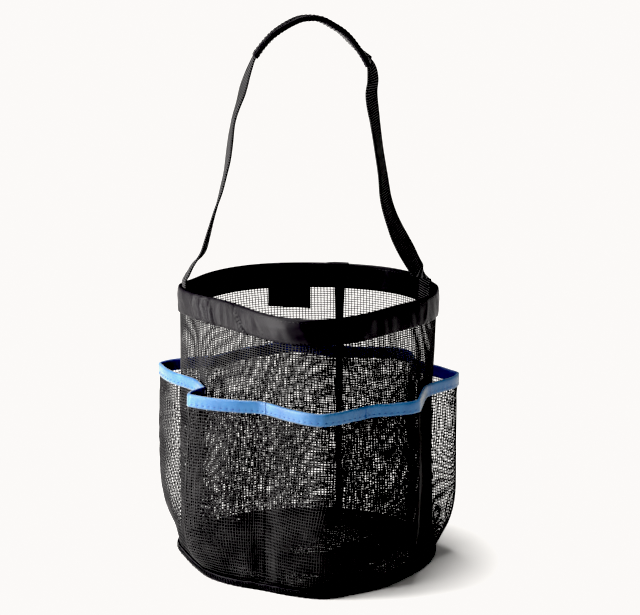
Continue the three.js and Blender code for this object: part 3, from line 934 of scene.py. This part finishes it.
def row_at(row, share):
    """The value at a share of a row of numbers, smoothed between them."""
    place = clamp(share) * (len(row) - 1)
    step = min(int(place), len(row) - 2)
    return cubic(place - step, *(row[min(max(step + k, 0), len(row) - 1)] for k in (-1, 0, 1, 2)))


def arch_frame(reach):
    """Middle, width direction and normal of the strap at a length from its left foot."""
    reach = clamp(reach, 0, arch_length)
    low, high = 0, len(arch_reach) - 1
    while high - low > 1:
        half = (low + high) // 2
        low, high = (half, high) if arch_reach[half] <= reach else (low, half)
    share = (reach - arch_reach[low]) / (arch_reach[high] - arch_reach[low])
    middle = arch_run[low].lerp(arch_run[high], share)
    ahead = arch_run[min(high + 2, len(arch_run) - 1)]
    along = (ahead - arch_run[max(low - 2, 0)]).normalized()
    turn = strap_twist * row_at(twist_shares, reach / arch_length)
    across = Vector((-along.z, 0, along.x))
    width = Vector((0, cos(turn), 0)) + across * sin(turn)
    return middle, width, along.cross(width)


def sewn_point(side, z, across, through):
    """A point of a sewn end, which follows the inside of the band."""
    angle = foot_angle(side) + side * across / wall_radius(foot_angle(side), z)
    return skin(wall_radius, angle, through - strap_seat, z)


def strap_place(reach, across, through):
    """A point of the strap at a length from its left foot. The sewn ends lie before 0 and past the arch."""
    side = -1 if reach < arch_length / 2 else 1
    up = reach if side < 0 else arch_length - reach
    middle, width, normal = arch_frame(reach)
    free = middle + width * across + normal * through
    if up >= foot_blend:
        return free
    sewn = sewn_point(side, foot_level + up, across, through)
    return sewn.lerp(free, ease(up / foot_blend)) if up > 0 else sewn


def webbing(name, dark, light, clouds, rib):
    """Ribbed webbing: weft ribs across the strap, crossed by fine warp lines, on its UV map. Its colour
    is darkened between the ribs as painted shade."""
    material, tree, shader = new_material(name, 0.7, Specular_IOR_Level=0.06)
    noise_color(tree, shader, clouds, dark, light)
    # Painted shade: the ribs' wave multiplies the base colour down in the valleys between them
    rib_shade = tree.nodes.new("ShaderNodeVectorMath")
    rib_shade.operation = "MULTIPLY"
    tree.links.new(shader.inputs["Base Color"].links[0].from_socket, rib_shade.inputs[0])
    flat = tree.nodes.new("ShaderNodeUVMap")
    flat.uv_map = "cloth"
    ribs = wave_lines(tree, flat, "X", rib, 0.8)
    bump(tree, shader, ribs.outputs["Fac"], rib_relief, 0.9)
    tree.links.new(ribs.outputs["Color"], rib_shade.inputs[1])
    warps = wave_lines(tree, flat, "Y", rib * warp_share, 0.8)
    bump(tree, shader, warps.outputs["Fac"], warp_relief, 0.9)
    tree.links.new(rib_shade.outputs["Vector"], shader.inputs["Base Color"])
    return material


rib_pitch = 2.2 * MM
warp_share = 0.6  # of the ribs' pitch, from one warp line to the next
rib_relief = 0.45 * MM
warp_relief = 0.12 * MM
webbing_dark = (0.06, 0.059, 0.0605, 1)
webbing_light = (0.09, 0.088, 0.0905, 1)
webbing_clouds = 60
black_webbing = webbing("black_webbing", webbing_dark, webbing_light, webbing_clouds, rib_pitch)
strap_half = strap_width / 2
strap_bulk = 1.25 * MM  # half its thickness at the selvedges, which are a little fuller than the web
selvedge = 0.35 * MM
selvedge_width = 3 * MM
strap_section = [
    Vector((across * side, through * face))
    for side, face in ((1, -1), (1, 1), (-1, 1), (-1, -1))
    for across, through in (
        ((strap_half - selvedge_width, strap_bulk - selvedge), (strap_half - selvedge, strap_bulk),
         (strap_half, strap_bulk / 2))
        if side * face < 0 else
        ((strap_half, strap_bulk / 2), (strap_half - selvedge, strap_bulk),
         (strap_half - selvedge_width, strap_bulk - selvedge))
    )
]
strap_columns, strap_rows = 420, 28
strap_length, strap_girth = 0.6, 0.054
strap_ripple = 0.35 * MM
ripple_scale = 40


def strap_point(along, across):
    reach = mix(-sewn_length, arch_length + sewn_length, along)
    x, through = loop_at(strap_section, across)
    ripple = strap_ripple * noise.noise(Vector((reach * ripple_scale, 0, 2.0)))
    return strap_place(reach, x, through + ripple)


strap_mesh = cloth_strip(
    "webbing_strap", strap_columns, strap_rows, strap_point, (strap_length, strap_girth)
)
strap_piece = show("webbing_strap", strap_mesh, black_webbing, None, None)
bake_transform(strap_piece)
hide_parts("strap", "strap_end_left", "strap_end_right")

box_half = strap_half - selvedge_width
box_levels = (foot_level - sewn_length + 3 * MM, foot_level - 6 * MM)
box_across, box_up = 7, 4  # steps between the stitches of its level and upright sides
sewn_face = -strap_thickness / 2
sewn_thread = 0.5 * MM
sewn_stitch = 2.6 * MM
sewn_seams = []
for side in (-1, 1):
    inward = Vector((-side, 0, 0))
    for z in box_levels:
        frames = []
        for k in range(box_across + 1):
            across = mix(-box_half, box_half, k / box_across)
            point = sewn_point(side, z, across, sewn_face)
            frames.append((point, sewn_point(side, z, across + MM, sewn_face) - point, inward))
        sewn_seams.append(frames)
    for across in (-box_half, box_half):
        levels = [mix(*box_levels, k / box_up) for k in range(box_up + 1)]
        upright = Vector((0, 0, 1))
        sewn_seams.append([(sewn_point(side, z, across, sewn_face), upright, inward) for z in levels])
stitches("strap_end_stitching", sewn_seams, sewn_thread, sewn_stitch, black_stitch)

# The grip: a sleeve of the band's black cloth, wrapped round the strap's crown and sewn through along both
# of its edges. Its two open ends show the thickness of the cloth.
grip_start = 0.39  # in parts of the arch's length
grip_end = 0.624
grip_wall = 1.3 * MM
grip_half = strap_half + clearance + grip_wall
grip_deep = strap_thickness / 2 + clearance + grip_wall
grip_round = 0.8 * MM
grip_section = [
    Vector((across * side, through * face))
    for side, face in ((1, -1), (1, 1), (-1, 1), (-1, -1))
    for across, through in (
        ((grip_half - grip_round, grip_deep), (grip_half, grip_deep - grip_round))
        if side * face < 0 else
        ((grip_half, grip_deep - grip_round), (grip_half - grip_round, grip_deep))
    )
]
mouth_turn = 0.02  # the share of the mesh that turns inwards at each open end
grip_columns, grip_rows = 140, 36
grip_length, grip_girth = 0.14, 0.066
grip_pucker = 0.35 * MM
pucker_scales = (45, 60, 90)  # along the strap, across it and through it
grip_seam = 2 * MM  # from its edge to the stitches
grip_seam_share = 0.006  # from its end to the first of them, in parts of the arch
grip_steps = 33
grip_thread = 0.45 * MM


def grip_point(along, across):
    inside = max(mouth_turn - along, along - 1 + mouth_turn, 0) / mouth_turn
    share = clamp((along - mouth_turn) / (1 - 2 * mouth_turn))
    reach = mix(grip_start, grip_end, share) * arch_length
    shape = loop_at(grip_section, across)
    shape = Vector((
        shape.x * mix(1, (grip_half - grip_wall) / grip_half, inside),
        shape.y * mix(1, (grip_deep - grip_wall) / grip_deep, inside),
    ))
    middle, width, normal = arch_frame(reach)
    place = Vector([scale * at for scale, at in zip(pucker_scales, (reach, *shape))])
    pucker = grip_pucker * noise.noise(place) * (1 - inside)
    return middle + width * shape.x + normal * (shape.y + pucker)


grip_mesh = cloth_strip("grip_cloth", grip_columns, grip_rows, grip_point, (grip_length, grip_girth))
show("grip_cloth", grip_mesh, black_cloth, "handle", "grip_sleeve")

grip_seams = []
for side in (-1, 1):
    across = side * (grip_half - grip_seam)
    frames = []
    for k in range(grip_steps + 1):
        along = mix(grip_start + grip_seam_share, grip_end - grip_seam_share, k / grip_steps)
        reach = along * arch_length
        middle, width, normal = arch_frame(reach)
        ahead, _, _ = arch_frame(reach + MM)
        for face in (-1, 1):
            point = middle + width * across + normal * face * (grip_deep + stitch_proud)
            frames.append((point, ahead - middle, normal * face))
    grip_seams.append(frames)
stitches("grip_stitching", grip_seams, grip_thread, sewn_stitch, black_stitch, "handle")
